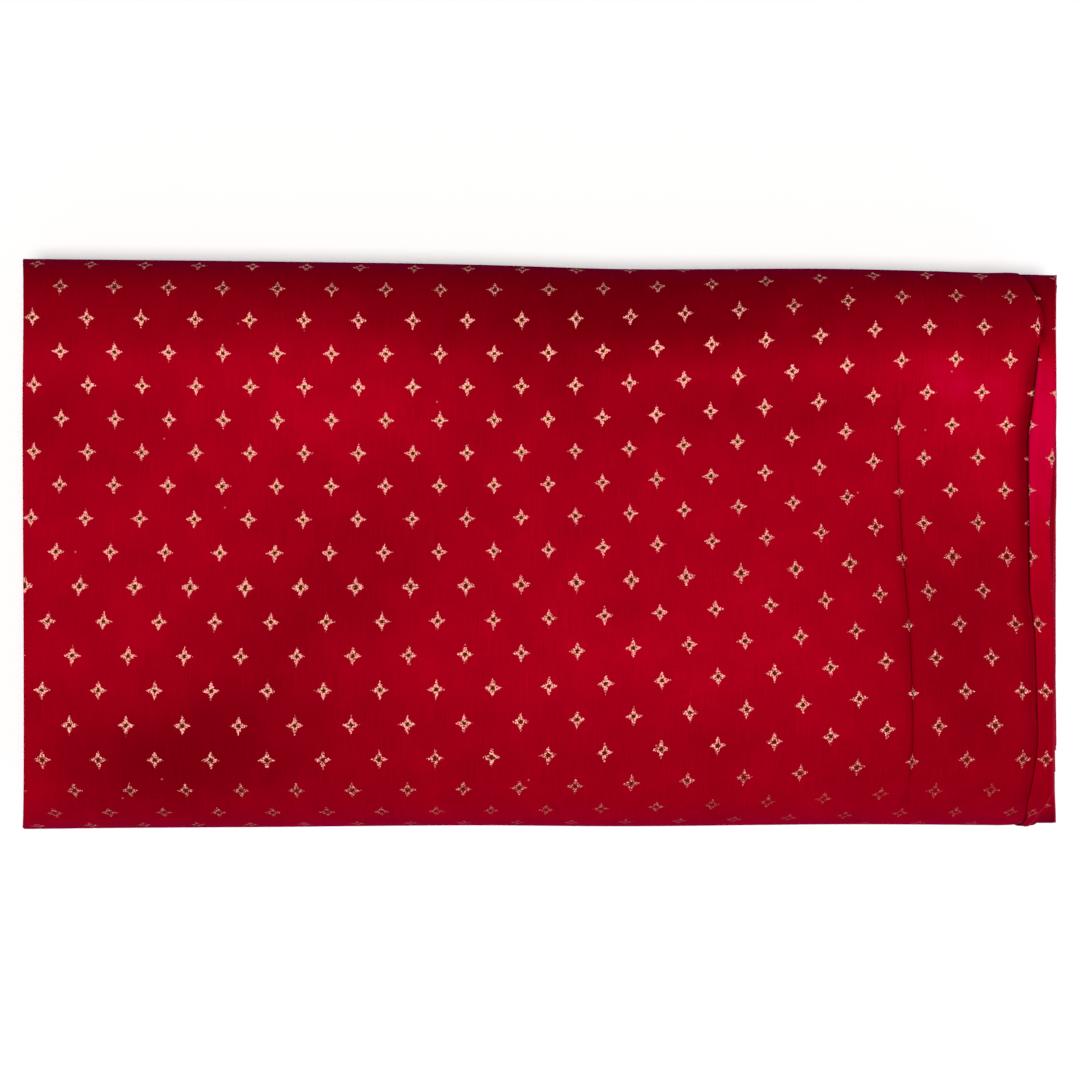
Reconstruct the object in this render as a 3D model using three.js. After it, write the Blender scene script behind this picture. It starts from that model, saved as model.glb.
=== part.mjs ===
// A turban cloth (pagri) as it is put away: one length of voile, doubled along its length and
// wound flat into a soft pack. Millimetres, Z up, origin under the middle of the pack.
// X runs along the pack, from the lengthwise fold at -X to the two selvedges at +X.
// Y runs from the front edge (-Y) to the back edge (+Y), and the pack rests on Z = 0.
import * as THREE from "three";

// Winding: the doubled cloth goes up the back, over the top, down the front and back underneath.
const FULL_TURNS = 11; // turns that go all the way round, with 6 m of cloth in all
const LAST_TURN_STEPS = 23; // steps of the innermost turn, up to the end at the heart of the pack
const WALL_SHARE = 0.72; // of the room that a turn has, the rest being air between the turns
const HEART_SHARE = 0.9; // of a turn's room that is left at the heart
const TURN_ROOM = 1 / (FULL_TURNS + HEART_SHARE); // as a share of the way from the heart to the outside

// Edges of the pack, rounded where the cloth turns back on itself
const WIDEST = 21; // height at which the front and back edges stand out most
const BACK_ROUNDING = 30; // how far the back edge's curve reaches in from the widest point
const FRONT_ROUNDING = 39; // the same at the fuller front edge

// Ends of the pack: the upper turns lie further in than the lower ones, most of all at the front
const END_REACH = 250; // from the middle to either end, at the height of the edges
const END_REACH_HEIGHT = 27; // height up to which the ends are upright
const END_SLOPE_UP = 0.258; // how far the ends lean in for each millimetre above that
const END_SLOPE_BACK = 0.0225; // how far they stand out for each millimetre further back

// Tuck beside the right end: a fold of the outer turn that lies over the cloth to its left. From left
// to right through the fold, measured from its edge: where each point lies along the pack while the
// cloth is flat and once it is folded, and how high above the cloth it lies on
const TUCK_FOLD = [
  { flat: -3.5, folded: -1.2, rise: 0 },
  { flat: -2.2, folded: 5.8, rise: 0.05 },
  { flat: -1.0, folded: 6.2, rise: 0.6 },
  { flat: 0.2, folded: 0.4, rise: 0.7 },
  { flat: 1.4, folded: -0.7, rise: 1.7 },
  { flat: 2.6, folded: 0.7, rise: 2.7 },
];

// Top of the fold, from its edge to the end of the pack: share of the way and height
const TUCK_TOP = [
  { share: 0.4, rise: 2.6 },
  { share: 0.8, rise: 1.4 },
];

// Crease: a narrow pinch of the outer turn, left of the tuck
const CREASE_X = 171.5;
const CREASE_RISE = 1.3;
const CREASE_HALF_WIDTH = 2.2;

// The pack's outline at sections along its length: how far the back and the front edge stand out,
// and the heights of the rounded crests and of the hollow that lies between them
const SECTIONS = [
  { x: -250, back: 138.8, front: 138.8, backCrest: 47.0, hollow: 45.5, frontCrest: 58.5 },
  { x: -140, back: 137.6, front: 137.9, backCrest: 47.5, hollow: 46.0, frontCrest: 59.5 },
  { x: -20, back: 135.6, front: 137.0, backCrest: 48.0, hollow: 45.5, frontCrest: 60.5 },
  { x: 30, back: 134.0, front: 137.4, backCrest: 47.5, hollow: 43.5, frontCrest: 60.0 },
  { x: 150, back: 133.8, front: 136.5, backCrest: 47.0, hollow: 45.0, frontCrest: 59.0 },
  { x: 250, back: 130.8, front: 137.2, backCrest: 46.0, hollow: 45.5, frontCrest: 57.5 },
];

// One turn of the cloth, from the loose end low on the back edge. On the edges, angle is the
// direction from the heart, in degrees above the level. On the flats, across runs from back to front,
// and climb is the share of the way up from the hollow to the front crest.
// sink is how far the turn has gone in under the one before it. The rest is for the outer turn alone:
// tuck and crease are shares of their rise, tuckX is where the tuck's edge lies,
// and recess is how far the selvedges lie in from the end of the pack.
const TURN = [
  { side: "back", angle: -36, sink: 0, tuck: 0, tuckX: 227, crease: 0, recess: 0 },
  { side: "back", angle: -18, sink: 0, tuck: 0.25, tuckX: 228, crease: 0, recess: 0 },
  { side: "back", angle: 0, sink: 0, tuck: 0.45, tuckX: 229, crease: 0, recess: 0 },
  { side: "back", angle: 18, sink: 0, tuck: 0.6, tuckX: 229.6, crease: 0, recess: 0 },
  { side: "back", angle: 36, sink: 0, tuck: 0.75, tuckX: 230.5, crease: 0, recess: 0 },
  { side: "back", angle: 54, sink: 0, tuck: 0.9, tuckX: 232.5, crease: 0, recess: 0 },
  { side: "back", angle: 72, sink: 0, tuck: 1, tuckX: 235.2, crease: 0, recess: 0 },
  { side: "back", angle: 90, sink: 0, tuck: 1, tuckX: 236.5, crease: 0, recess: 0 },
  { side: "top", across: 0.25, climb: 0, sink: 0, tuck: 1, tuckX: 233.4, crease: 0.3, recess: 0 },
  { side: "top", across: 0.5, climb: 0.42, sink: 0, tuck: 1, tuckX: 230.3, crease: 1, recess: 0 },
  { side: "top", across: 0.75, climb: 0.82, sink: 0, tuck: 1, tuckX: 229.5, crease: 1, recess: 0 },
  { side: "front", angle: 90, sink: 0, tuck: 1, tuckX: 228.5, crease: 0.8, recess: 0 },
  { side: "front", angle: 72, sink: 0, tuck: 0.9, tuckX: 227.6, crease: 0.3, recess: 0 },
  { side: "front", angle: 54, sink: 0, tuck: 0.75, tuckX: 226.3, crease: 0, recess: 1 },
  { side: "front", angle: 36, sink: 0, tuck: 0.6, tuckX: 224, crease: 0, recess: 4 },
  { side: "front", angle: 18, sink: 0, tuck: 0.4, tuckX: 221, crease: 0, recess: 10 },
  { side: "front", angle: 0, sink: 0, tuck: 0.15, tuckX: 217, crease: 0, recess: 16 },
  { side: "front", angle: -18, sink: 0, tuck: 0, tuckX: 214, crease: 0, recess: 20 },
  { side: "front", angle: -36, sink: 0, tuck: 0, tuckX: 213, crease: 0, recess: 21 },
  { side: "front", angle: -54, sink: 0, tuck: 0, tuckX: 213, crease: 0, recess: 22 },
  { side: "front", angle: -72, sink: 0, tuck: 0, tuckX: 213, crease: 0, recess: 22 },
  { side: "front", angle: -90, sink: 0, tuck: 0, tuckX: 213, crease: 0, recess: 22 },
  { side: "under", across: 0.5, sink: 0, tuck: 0, tuckX: 216, crease: 0, recess: 17 },
  { side: "back", angle: -90, sink: 0, tuck: 0, tuckX: 220, crease: 0, recess: 10 },
  { side: "back", angle: -72, sink: 0.35, tuck: 0, tuckX: 223, crease: 0, recess: 6 },
  { side: "back", angle: -54, sink: 0.8, tuck: 0, tuckX: 226, crease: 0, recess: 2 },
];

const lerp = THREE.MathUtils.lerp;

// The outline's measures at any place along the pack
function sectionAt(x) {
  let right = 1;
  while (right < SECTIONS.length - 1 && SECTIONS[right].x < x) right += 1;
  const a = SECTIONS[right - 1];
  const b = SECTIONS[right];
  const share = THREE.MathUtils.clamp((x - a.x) / (b.x - a.x), 0, 1);
  const between = (name) => lerp(a[name], b[name], share);
  return {
    back: between("back"),
    front: between("front"),
    backCrest: between("backCrest"),
    hollow: between("hollow"),
    frontCrest: between("frontCrest"),
  };
}

// For a step of the turn at x: the point of the pack's outside, and the point at the pack's heart
// that it is measured from. Both are [y, z].
function rayAt(step, x) {
  const s = sectionAt(x);
  const backHeart = [s.back - BACK_ROUNDING, s.backCrest / 2];
  const frontHeart = [FRONT_ROUNDING - s.front, s.frontCrest / 2];
  if (step.side === "back" || step.side === "front") {
    const isBack = step.side === "back";
    const heart = isBack ? backHeart : frontHeart;
    const crest = isBack ? s.backCrest : s.frontCrest;
    const outward = isBack ? BACK_ROUNDING : -FRONT_ROUNDING;
    const angle = THREE.MathUtils.degToRad(step.angle);
    const height = step.angle > 0 ? crest - WIDEST : WIDEST;
    const level = step.angle === -90 ? 0 : WIDEST + height * Math.sin(angle);
    return { heart, outside: [heart[0] + outward * Math.cos(angle), level] };
  }
  const heart = [
    lerp(backHeart[0], frontHeart[0], step.across),
    lerp(backHeart[1], frontHeart[1], step.across),
  ];
  const height = step.side === "under" ? 0 : lerp(s.hollow, s.frontCrest, step.climb);
  return { heart, outside: [heart[0], height] };
}

// How far the cloth reaches towards either end at a point of the cross-section
function reachAt([y, z]) {
  const above = Math.max(z - END_REACH_HEIGHT, 0);
  return END_REACH - END_SLOPE_UP * above + END_SLOPE_BACK * y;
}

// A point of a turn: depth is 0 on the outside of the pack and 1 at its heart, and rise lifts the
// point off that surface.
function pointAt(step, x, depth, rise) {
  const { heart, outside } = rayAt(step, x);
  const out = new THREE.Vector2(outside[0] - heart[0], outside[1] - heart[1]);
  const lift = out.clone().normalize().multiplyScalar(rise);
  return new THREE.Vector3(
    x,
    outside[0] - depth * out.x + lift.x,
    outside[1] - depth * out.y + lift.y,
  );
}

// The places along the pack where a plain turn has a row of points, from end to end
function plainStations(step, depth, recess) {
  const middle = rayAt(step, 0);
  const reach = reachAt(middle.outside.map((v, i) => lerp(v, middle.heart[i], depth)));
  const inner = SECTIONS.slice(1, -1).map((section) => ({ x: section.x, rise: 0 }));
  return [{ x: -reach, rise: 0 }, ...inner, { x: reach - recess, rise: 0 }];
}

// The same for the outer turn's face, with the crease and the tuck between them. Where the tuck lies
// flat its stations follow each other along the cloth. Where it is folded they run in under the fold
// to the bottom of its slit, back to its edge, and on over its top.
function outerStations(step) {
  const plain = plainStations(step, 0, step.recess);
  const end = plain.pop();
  const crease = [-CREASE_HALF_WIDTH, 0, CREASE_HALF_WIDTH].map((side) => ({
    x: CREASE_X + side,
    rise: side === 0 ? CREASE_RISE * step.crease : 0,
  }));
  const tuck = TUCK_FOLD.map(({ flat, folded, rise }) => ({
    x: step.tuckX + lerp(flat, folded, step.tuck),
    rise: rise * step.tuck,
  }));
  const edge = tuck[tuck.length - 1];
  const top = TUCK_TOP.map(({ share, rise }) => ({
    x: lerp(edge.x, end.x, share),
    rise: rise * step.tuck,
  }));
  return [...plain, ...crease, ...tuck, ...top, end];
}

// A ring of points round the cloth's wall: its outer face from left to right, and its inner face
function ringAt(turn, step) {
  const depth = TURN_ROOM * (turn + step.sink);
  const under = depth + TURN_ROOM * WALL_SHARE;
  const recess = turn === 0 ? step.recess : 0;
  const stations = turn === 0 ? outerStations(step) : plainStations(step, depth, 0);
  return {
    outer: stations.map((s) => pointAt(step, s.x, depth, s.rise)),
    inner: plainStations(step, depth, recess).map((s) => pointAt(step, s.x, under, 0)),
  };
}

// All the rings, from the loose end to the end at the heart
function windingRings() {
  const rings = [];
  for (let turn = 0; turn <= FULL_TURNS; turn += 1) {
    const steps = turn < FULL_TURNS ? TURN : TURN.slice(0, LAST_TURN_STEPS);
    for (const step of steps) rings.push(ringAt(turn, step));
  }
  return rings;
}

// Triangles between two chains of point numbers. Chains of one length are joined pair by pair, and
// others by going along both from left to right.
function joinChains(points, a, b) {
  const faces = [];
  let i = 0;
  let j = 0;
  while (i < a.length - 1 || j < b.length - 1) {
    const paired = a.length === b.length;
    const nextIsA = paired ? i <= j : j === b.length - 1 || (
      i < a.length - 1 && points[a[i + 1]].x <= points[b[j + 1]].x
    );
    if (nextIsA) {
      faces.push([a[i], b[j], a[i + 1]]);
      i += 1;
    } else {
      faces.push([a[i], b[j], b[j + 1]]);
      j += 1;
    }
  }
  return faces;
}

const flipped = (faces) => faces.map(([p, q, r]) => [p, r, q]);

// The cloth's wall as one closed mesh: faces from ring to ring, and a cap at each end
function clothGeometry() {
  const points = [];
  const numbered = windingRings().map(({ outer, inner }) => {
    const number = (chain) => chain.map((point) => points.push(point) - 1);
    return { outer: number(outer), inner: number(inner) };
  });
  const faces = [];
  for (let i = 0; i + 1 < numbered.length; i += 1) {
    const a = numbered[i];
    const b = numbered[i + 1];
    const last = (chain) => chain[chain.length - 1];
    faces.push(...joinChains(points, a.outer, b.outer));
    faces.push(...flipped(joinChains(points, a.inner, b.inner)));
    faces.push([a.outer[0], b.inner[0], b.outer[0]], [a.outer[0], a.inner[0], b.inner[0]]);
    faces.push(
      [last(a.outer), last(b.outer), last(b.inner)],
      [last(a.outer), last(b.inner), last(a.inner)],
    );
  }
  const loose = numbered[0];
  const heart = numbered[numbered.length - 1];
  faces.push(...flipped(joinChains(points, loose.outer, loose.inner)));
  faces.push(...joinChains(points, heart.outer, heart.inner));
  const geometry = new THREE.BufferGeometry();
  geometry.setAttribute(
    "position",
    new THREE.Float32BufferAttribute(points.flatMap((p) => [p.x, p.y, p.z]), 3),
  );
  geometry.setIndex(faces.flat());
  geometry.computeVertexNormals();
  return geometry;
}

// Crimson cotton voile, matt
const voile = new THREE.MeshStandardMaterial({ color: 0xa3001c, roughness: 0.85, metalness: 0 });

const cloth = new THREE.Mesh(clothGeometry(), voile);
cloth.name = "turban_cloth";

const pack = new THREE.Group();
pack.add(cloth);

export default pack;
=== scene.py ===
import math
from collections import namedtuple
from functools import partial

import bpy
import numpy as np
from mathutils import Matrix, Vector


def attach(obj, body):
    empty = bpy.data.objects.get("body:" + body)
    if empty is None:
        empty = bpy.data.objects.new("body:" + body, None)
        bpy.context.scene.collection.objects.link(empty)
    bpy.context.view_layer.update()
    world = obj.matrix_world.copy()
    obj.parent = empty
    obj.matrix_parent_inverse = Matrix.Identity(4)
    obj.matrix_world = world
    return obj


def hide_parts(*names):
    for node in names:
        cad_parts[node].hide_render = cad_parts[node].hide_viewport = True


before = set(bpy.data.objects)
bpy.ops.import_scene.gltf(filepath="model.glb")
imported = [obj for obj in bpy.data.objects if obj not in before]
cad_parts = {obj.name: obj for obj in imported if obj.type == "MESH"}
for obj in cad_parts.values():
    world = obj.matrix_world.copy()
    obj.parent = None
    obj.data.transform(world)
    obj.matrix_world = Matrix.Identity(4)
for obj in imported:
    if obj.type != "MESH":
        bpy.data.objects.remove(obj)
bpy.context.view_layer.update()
bpy.ops.object.select_all(action="DESELECT")


# The outer turn of the turban cloth: crimson cotton voile, doubled along its length, that goes once
# round the pack from its loose cut end low on the back edge. It is smoothed over the top by hand,
# with a tuck beside the selvedges and a pinched crease. All sizes are in millimetres.
MM = 0.001
TURNS = 11.9
CLOTH_THICKNESS = 0.25
PLY_GAP = 0.46  # from the upper ply to the lower, in turns
FOLD_RADIUS = 0.6  # of the lengthwise fold at the left end

# The cross-section: the height at which the pack is widest, how far its rounded edges reach in, and
# the share of the top over which the back crest falls to the hollow
WIDEST = 21.0
BACK_ROUNDING = 30.0
FRONT_ROUNDING = 39.0
BACK_CREST_SHARE = 0.25

# The loose end's angle on the back edge, in degrees, and how a turn sinks in under it on its way
LOOSE_END_ANGLE = -36.0
SINK_POWER = 1.3

# The ends of the pack, which slope in above a height and lie a little further out at the back
END_REACH = 250.0
END_REACH_HEIGHT = 27.0
END_SLOPE_UP = 0.258
END_SLOPE_BACK = 0.0225

# The pack's outline along its length, as in the frame: its edges, its crests and the hollow between
SECTIONS = {
    "x": [-250.0, -140.0, -20.0, 30.0, 150.0, 250.0],
    "back": [138.8, 137.6, 135.6, 134.0, 133.8, 130.8],
    "front": [138.8, 137.9, 137.0, 137.4, 136.5, 137.2],
    "back_crest": [47.0, 47.5, 48.0, 47.5, 47.0, 46.0],
    "hollow": [45.5, 46.0, 45.5, 43.5, 45.0, 45.5],
    "front_crest": [58.5, 59.5, 60.5, 60.0, 59.0, 57.5],
}

# How far up from the hollow to the front crest the top has climbed, from back to front
TOP = {"across": [0.0, 0.25, 0.5, 0.75, 1.0], "climb": [0.0, 0.0, 0.42, 0.82, 1.0]}

# One step of the cloth on its way round: the side of the pack, how far along that side in degrees or
# as a share, the turn, and how far the turn has sunk in under the one before it
Step = namedtuple("Step", ["side", "place", "turn", "sink"])


def eased(places, values, at, flat_ends=False):
    """A smooth curve through the values at the places, read at any other place."""
    places = np.asarray(places, float)
    values = np.asarray(values, float)
    slopes = np.gradient(values, places)
    if flat_ends:
        slopes[0] = 0.0
        slopes[-1] = 0.0
    at = np.clip(at, places[0], places[-1])
    k = np.clip(np.searchsorted(places, at, side="right") - 1, 0, len(places) - 2)
    step = places[k + 1] - places[k]
    u = (at - places[k]) / step
    start = (2 * u**3 - 3 * u**2 + 1) * values[k] + (u**3 - 2 * u**2 + u) * step * slopes[k]
    end = (3 * u**2 - 2 * u**3) * values[k + 1] + (u**3 - u**2) * step * slopes[k + 1]
    return start + end


def winding_steps(first_turn, last_turn, edge_step, top_step, under_step):
    """The steps of the cloth from its loose end inwards, turn by turn."""
    sides = (
        ("back", np.arange(LOOSE_END_ANGLE, 90.0, edge_step)),
        ("top", np.arange(0.0, 1.0, top_step)),
        ("front", np.arange(90.0, -90.0, -edge_step)),
        ("under", np.arange(1.0, 0.0, -under_step)),
    )
    steps = []
    for turn in range(first_turn, last_turn + 1):
        steps.extend(Step(side, place, turn, 0.0) for side, places in sides for place in places)
        for angle in np.arange(-90.0, LOOSE_END_ANGLE, edge_step):
            sink = ((angle + 90.0) / (LOOSE_END_ANGLE + 90.0)) ** SINK_POWER
            steps.append(Step("back", angle, turn, sink))
    return steps


def rays(step, x):
    """For a step of the winding, at places x along the pack: the points on the pack's outside and
    the points at its heart that they are measured from, each as its y and its z."""
    back, front, back_crest, hollow, front_crest = (
        eased(SECTIONS["x"], SECTIONS[name], x)
        for name in ("back", "front", "back_crest", "hollow", "front_crest")
    )
    back_heart = np.array([back - BACK_ROUNDING, back_crest / 2])
    front_heart = np.array([FRONT_ROUNDING - front, front_crest / 2])
    if step.side in ("top", "under"):
        heart = back_heart + (front_heart - back_heart) * step.place
        climb = eased(TOP["across"], TOP["climb"], step.place, flat_ends=True)
        by_back = max(0.0, 1.0 - step.place / BACK_CREST_SHARE)
        fall = by_back**2 * (3.0 - 2.0 * by_back)
        height = hollow + (front_crest - hollow) * climb + (back_crest - hollow) * fall
        if step.side == "under":
            height = np.zeros_like(height)
        return np.array([heart[0], height]), heart
    heart = back_heart if step.side == "back" else front_heart
    crest = back_crest if step.side == "back" else front_crest
    outward = BACK_ROUNDING if step.side == "back" else -FRONT_ROUNDING
    angle = math.radians(step.place)
    height = crest - WIDEST if step.place > 0 else np.full_like(crest, WIDEST)
    return np.array([heart[0] + outward * math.cos(angle), WIDEST + height * math.sin(angle)]), heart


def reach(outside):
    """How far the cloth reaches towards either end of the pack at a point of the cross-section."""
    above = np.maximum(outside[1] - END_REACH_HEIGHT, 0.0)
    return END_REACH - END_SLOPE_UP * above + END_SLOPE_BACK * outside[0]


def way_in(step, depth=0.0):
    """How far in cloth lies, from 0 on the pack's outside to 1 at its heart: depth is in turns."""
    return (step.turn + step.sink + depth) / TURNS


def cloth_point(step, x, depth, rise):
    """The place of cloth at x: depth is in turns in from the step's own turn, and rise lifts it."""
    outside, heart = rays(step, x)
    out = outside - heart
    length = np.hypot(out[0], out[1])
    y, z = outside - out * way_in(step, depth) + out / length * rise
    return np.stack([x, y, z], axis=-1)


def distance_along(steps, x):
    """The distance along the pack's outside at x, from the back crest, for each of the steps."""
    points = np.array([rays(step, np.array([x]))[0][:, 0] for step in steps])
    gone = np.concatenate([[0.0], np.cumsum(np.hypot(*np.diff(points, axis=0).T))])
    crest = next(k for k, step in enumerate(steps) if step.side == "top")
    return gone - gone[crest]


def value_at(table, name, along):
    """A value of a table that runs round the pack, by distance from the back crest."""
    return np.interp(along, table["along"], table[name])


def fade(distance, width):
    """How near a place is, from 1 at no distance to next to nothing at two widths."""
    return np.exp(-((distance / width) ** 2))


def ramp(value, start, end):
    """How far a value has come from the start to the end, from 0 to 1."""
    return np.clip((value - start) / (end - start), 0.0, 1.0)


# The tuck beside the right end. Along it, by distance from the back crest: where its edge lies, how
# much it leans towards the middle of the pack (1) or towards the end (-1), and how high it stands
TUCK = {
    "along": [-60, -33, -19, -8, 3, 12, 20, 36, 55, 75, 132, 151, 202, 215, 233, 250, 265, 290, 420, 560],
    "edge": [230, 233.6, 236.2, 238.0, 238.5, 238.0, 237, 235, 232.1, 231.3, 229.4, 231, 230.7,
             229.3, 227.7, 229.5, 229, 223, 224, 232],
    "lean": [-1, -1, -1, -1, -1, 0.9, 1, 1, 1, 1, 1, 1, 1, 1, 1, 1, 1, 1, 1, 1],
    "height": [0.1, 0.35, 0.7, 1, 1, 1, 1, 1, 1, 1, 0.8, 0.55, 0.3, 0.25, 0.2, 0.15, 0.1, 0, 0, 0],
}

# Through the tuck from left to right: distance along the cloth, place and height from its edge when
# it leans towards the middle, the same when it leans towards the end, and the height when pressed
TUCK_FOLD = {
    "cloth": [-14, -8, -3.5, 0, 3.2, 5.6, 6.9, 7.7, 8.6, 11, 13.2, 14.4, 15.1, 15.9, 17.2, 19.5],
    "middle_x": [-14, -8, -3.5, 0, 3.1, 5.5, 6.5, 6.5, 5.7, 3.3, 1.2, 0.2, 0.0, 0.5, 1.7, 4.0],
    "middle_up": [0, 0, -0.2, -0.35, -0.3, -0.2, 0.1, 0.5, 0.75, 0.85, 1.0, 1.3, 1.9, 2.5, 2.9, 2.9],
    "end_x": [-14.5, -8.5, -4.0, -0.9, 0, -1.6, -2.9, -3.7, -4.4, -3.9, -1.9, -0.7, 0, 0.8, 2.1, 4.4],
    "end_up": [0, 1.0, 2.3, 2.9, 2.2, 1.2, 0.8, 0.5, 0.1, -0.5, -0.9, -1.0, -1.0, -0.9, -0.7, -0.3],
    "pressed_up": [0, 0, -0.2, -0.55, -0.55, -0.5, -0.45, -0.4, -0.35, -0.3, -0.28, -0.22, -0.12,
                   -0.03, 0, 0],
}
TUCK_SAMPLES = 0.8

# The cloth that is inside the tuck, from its left edge to its right, and its loop where it turns over
# from one side to the other and stands upright
IN_TUCK = (3.3, 14.8)
LOOP_LENGTH = 15.5
LOOP_WIDER = 1.2
LOOP_HIGHER = 0.4

# The crease: where it runs, how sharp it is along its run, its shape from left to right, and where it
# is pinched, and the painted shade there
CREASE = {
    "along": [30, 51, 83, 115, 146, 178, 210, 228, 245],
    "x": [170.5, 170.5, 170.3, 171.0, 172.7, 173.2, 172.4, 171.0, 169.0],
    "sharp": [0, 0.45, 0.8, 0.9, 0.85, 0.8, 0.5, 0.25, 0],
}
CREASE_FOLD = {
    "cloth": [-6, -2.5, -0.6, 0.2, 0.9, 1.6, 2.4, 3.4, 4.8, 7.5, 11],
    "x": [-6, -2.5, -0.6, 0.0, 0.1, -0.35, -0.1, 0.6, 1.7, 4.3, 7.8],
    "up": [0, -0.1, -0.25, -0.1, 0.4, 0.85, 1.15, 1.2, 0.95, 0.4, 0],
}
CREASE_SAMPLES = 0.5
PINCHED = (-0.9, 1.3)
PINCH_PAINTED_SHADE = 0.3

# How far the selvedges lie in from the end of the pack, by distance from the back crest. The lower
# ply's lies in less, and a little short of the end
SELVEDGE = {
    "along": [-60, 20, 45, 62, 80, 100, 125, 150, 228, 241, 253, 265, 290, 320, 420, 520, 545, 570],
    "in": [0.3, 0.3, 0.6, 1.0, 2.6, 3.6, 2.0, 0.5, 1, 7.5, 12, 15, 20, 22, 17, 10, 6, 2],
}
LOWER_IN_SHARE = 0.8
LOWER_SHORT = 0.5

# Soft dents and swells that smoothing by hand left: place, half length, half width, how far their
# length is turned from the pack's, height, and the painted light (above 0) and painted shade (below 0)
# put into the cloth's colour there
DENTS = [
    {"x": 38, "along": 8, "long": 75, "wide": 22, "turn": 0, "up": -0.6, "shade": -0.25},
    {"x": -10, "along": 28, "long": 30, "wide": 12, "turn": 0, "up": -0.4, "shade": -0.10},
    {"x": -100, "along": 45, "long": 50, "wide": 20, "turn": 0, "up": 0.6, "shade": 0.14},
    {"x": 207, "along": 38, "long": 24, "wide": 26, "turn": 0, "up": 0.8, "shade": 0.25},
    {"x": -118, "along": 154, "long": 70, "wide": 26, "turn": -48, "up": -1.3, "shade": -0.26},
    {"x": -170, "along": 218, "long": 62, "wide": 22, "turn": 0, "up": -0.3, "shade": -0.16},
    {"x": 190, "along": 137, "long": 28, "wide": 32, "turn": 0, "up": -0.9, "shade": -0.22},
    {"x": 206, "along": 180, "long": 26, "wide": 40, "turn": 0, "up": -0.3, "shade": -0.13},
    {"x": 76, "along": 151, "long": 80, "wide": 30, "turn": -6, "up": 0.8, "shade": 0.08},
    {"x": 50, "along": 66, "long": 50, "wide": 16, "turn": 0, "up": 0.5, "shade": 0.03},
    {"x": -238, "along": 165, "long": 26, "wide": 30, "turn": 0, "up": -0.2, "shade": -0.10},
    {"x": -240, "along": 50, "long": 50, "wide": 20, "turn": 0, "up": -0.2, "shade": -0.18},
    {"x": -245, "along": 215, "long": 16, "wide": 26, "turn": 0, "up": 0.1, "shade": 0.14},
    {"x": 150, "along": 23, "long": 80, "wide": 10, "turn": 0, "up": 0.2, "shade": 0.10},
    {"x": 30, "along": 50, "long": 42, "wide": 15, "turn": 0, "up": -0.2, "shade": -0.07},
    {"x": 115, "along": 41, "long": 36, "wide": 12, "turn": 0, "up": -0.2, "shade": -0.16},
]

# Painted shade where the cloth is drawn over the pack's edges: how much deeper its colour is made
EDGE_PAINTED_SHADE = {
    "along": [-60, -20, 4, 25, 170, 205, 218, 245, 300],
    "shade": [-0.44, -0.44, -0.28, 0, 0, -0.17, -0.23, -0.22, -0.22],
}

# Painted light on the strip beyond the tuck, standing proud: how much paler than the rest it is made
STRIP = {
    "along": [-30, -10, 8, 30, 55, 85, 130, 180, 215, 240],
    "paler": [0.0, 0.05, 0.2, 0.55, 0.8, 0.62, 0.22, -0.03, -0.06, -0.06],
}

# How far the strip's print is pulled towards the selvedge
STRIP_PULLED = {"along": [35, 60, 100, 130], "by": [0.0, 1.5, 1.5, 0.0]}

# The valley left of the tuck, by distance from the back crest: how much of its depth it has, and how
# much painted shade it gets. Then, for it and for the crease's: how far left of the fold's edge its
# lowest line lies, how far it spreads, and how deep it is
VALLEY = {
    "along": [-8, 8, 25, 55, 110, 150, 200, 240, 262],
    "depth": [0, 0.3, 0.8, 1, 0.8, 0.5, 0.4, 0.3, 0],
    "dark": [0, 0.3, 0.8, 0.85, 0.65, 0.4, 0.3, 0.25, 0],
}
TUCK_VALLEY = {"left": 1.5, "wide": 4.5, "deep": 1.1}
CREASE_VALLEY = {"left": 0.8, "wide": 2.6, "deep": 0.4}
CREASE_VALLEY_END = 1.0  # right of the crease's edge, where the pinch stands up

# Painted shade where little light comes: how dark the cloth left of the tuck, inside it and under it
# on the strip is painted, how far from its edge that goes, the painted highlight on the line where the
# strip's cloth turns up into it, and how much of the shade all that takes, in the tuck and in the
# crease's valley
LEFT_DARK = {"from": 1.0, "wide": 4.4}
INSIDE_DARK = 0.7
UNDER_DARK = {"dark": 1.25, "wide": 3.4}
LIT_LINE = {"lit": 0.8, "wide": 1.3}
TUCK_PAINTED_SHADE = 0.62
CREASE_SHADE = 0.15


def valleys(x, along):
    """How far the cloth lies in the valleys left of the tuck and of the crease, from 0 to 1."""
    tuck_x = value_at(TUCK, "edge", along)
    crease_x = value_at(CREASE, "x", along)
    by_tuck = fade(np.minimum(x - tuck_x, 0.0) + TUCK_VALLEY["left"], TUCK_VALLEY["wide"])
    by_crease = fade(np.minimum(x - crease_x, 0.0) + CREASE_VALLEY["left"], CREASE_VALLEY["wide"])
    by_crease = by_crease * (x < crease_x + CREASE_VALLEY_END)
    return value_at(VALLEY, "depth", along) * by_tuck, value_at(CREASE, "sharp", along) * by_crease


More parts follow.
